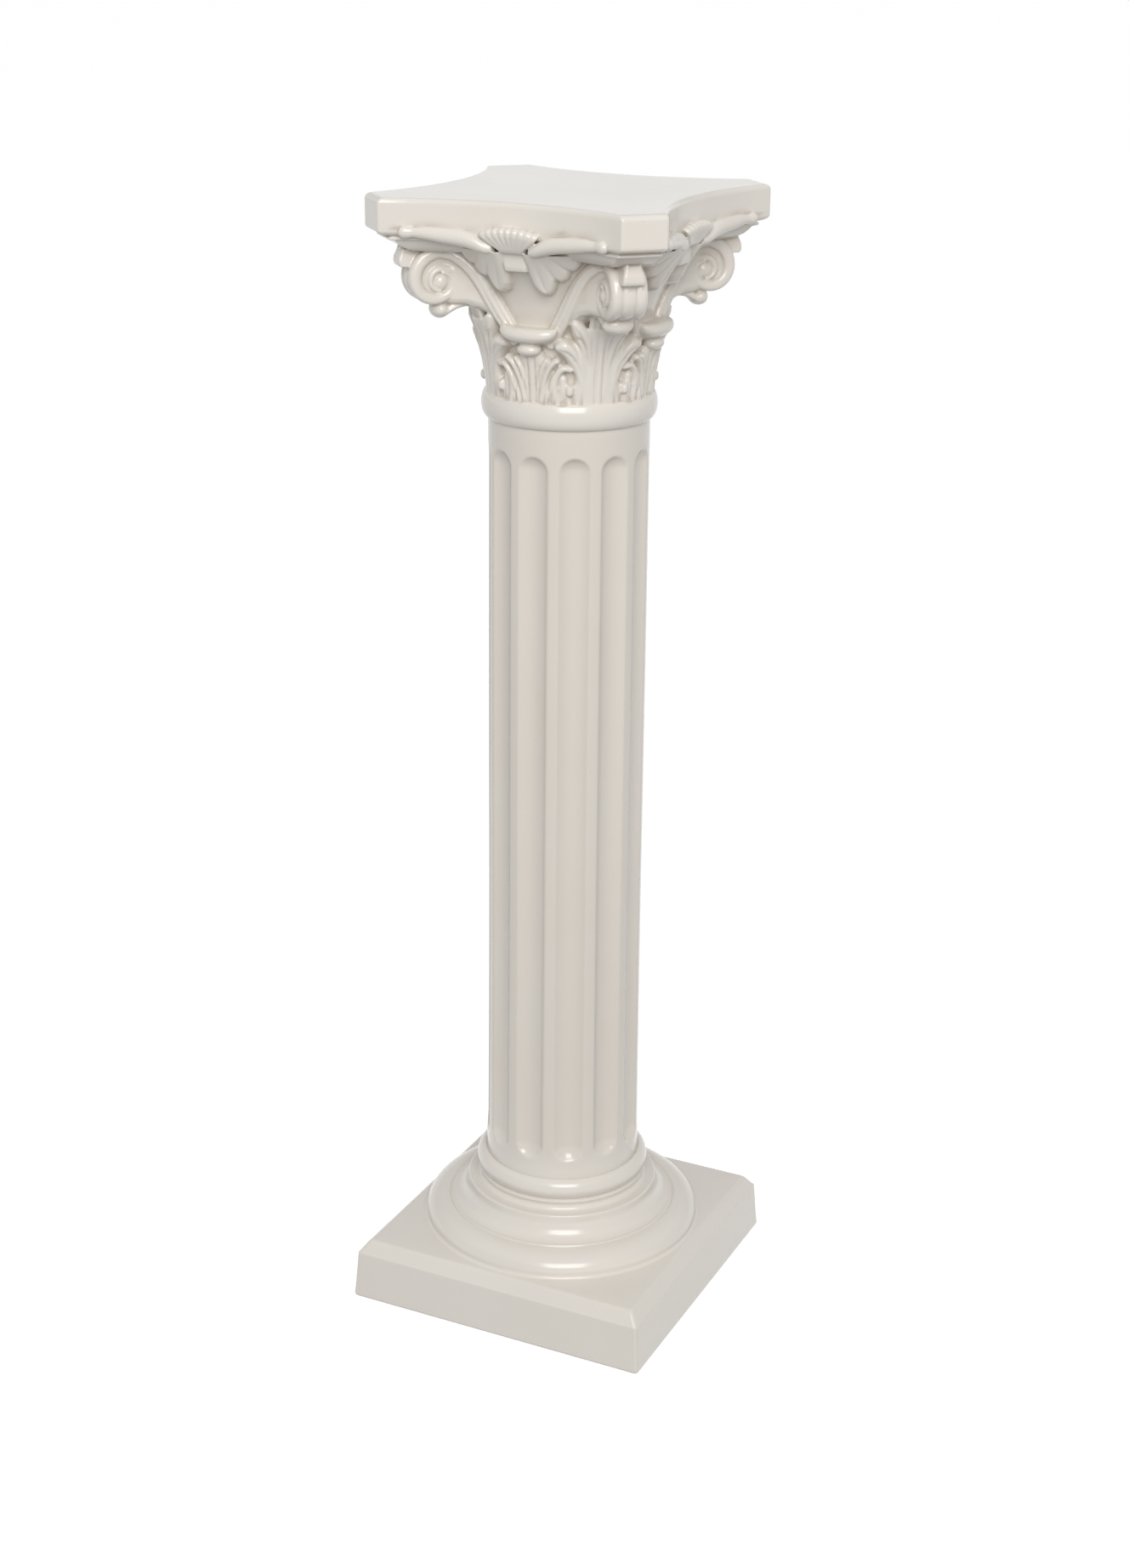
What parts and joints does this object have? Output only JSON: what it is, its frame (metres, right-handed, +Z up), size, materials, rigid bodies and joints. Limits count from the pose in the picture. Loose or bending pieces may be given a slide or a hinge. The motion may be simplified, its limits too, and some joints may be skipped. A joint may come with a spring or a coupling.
{
  "type": "fluted pedestal column with a corinthian capital",
  "caption": "Glazed ceramic pedestal: square plinth, moulded round base, fluted shaft and a leafed capital with corner volutes under a hollow-sided flat top.",
  "frame": {"origin": "middle of the plinth's flat underside, where the column stands on the floor", "axes": "+Z up along the column's axis; the capital's and plinth's four faces look along +X, -X, +Y and -Y"},
  "size_m": [0.288, 0.288, 1],
  "materials": {
    "white_glaze": null
  },
  "bodies": {
    "root": {"corinthian_column": "white_glaze"}
  },
  "joints": []
}
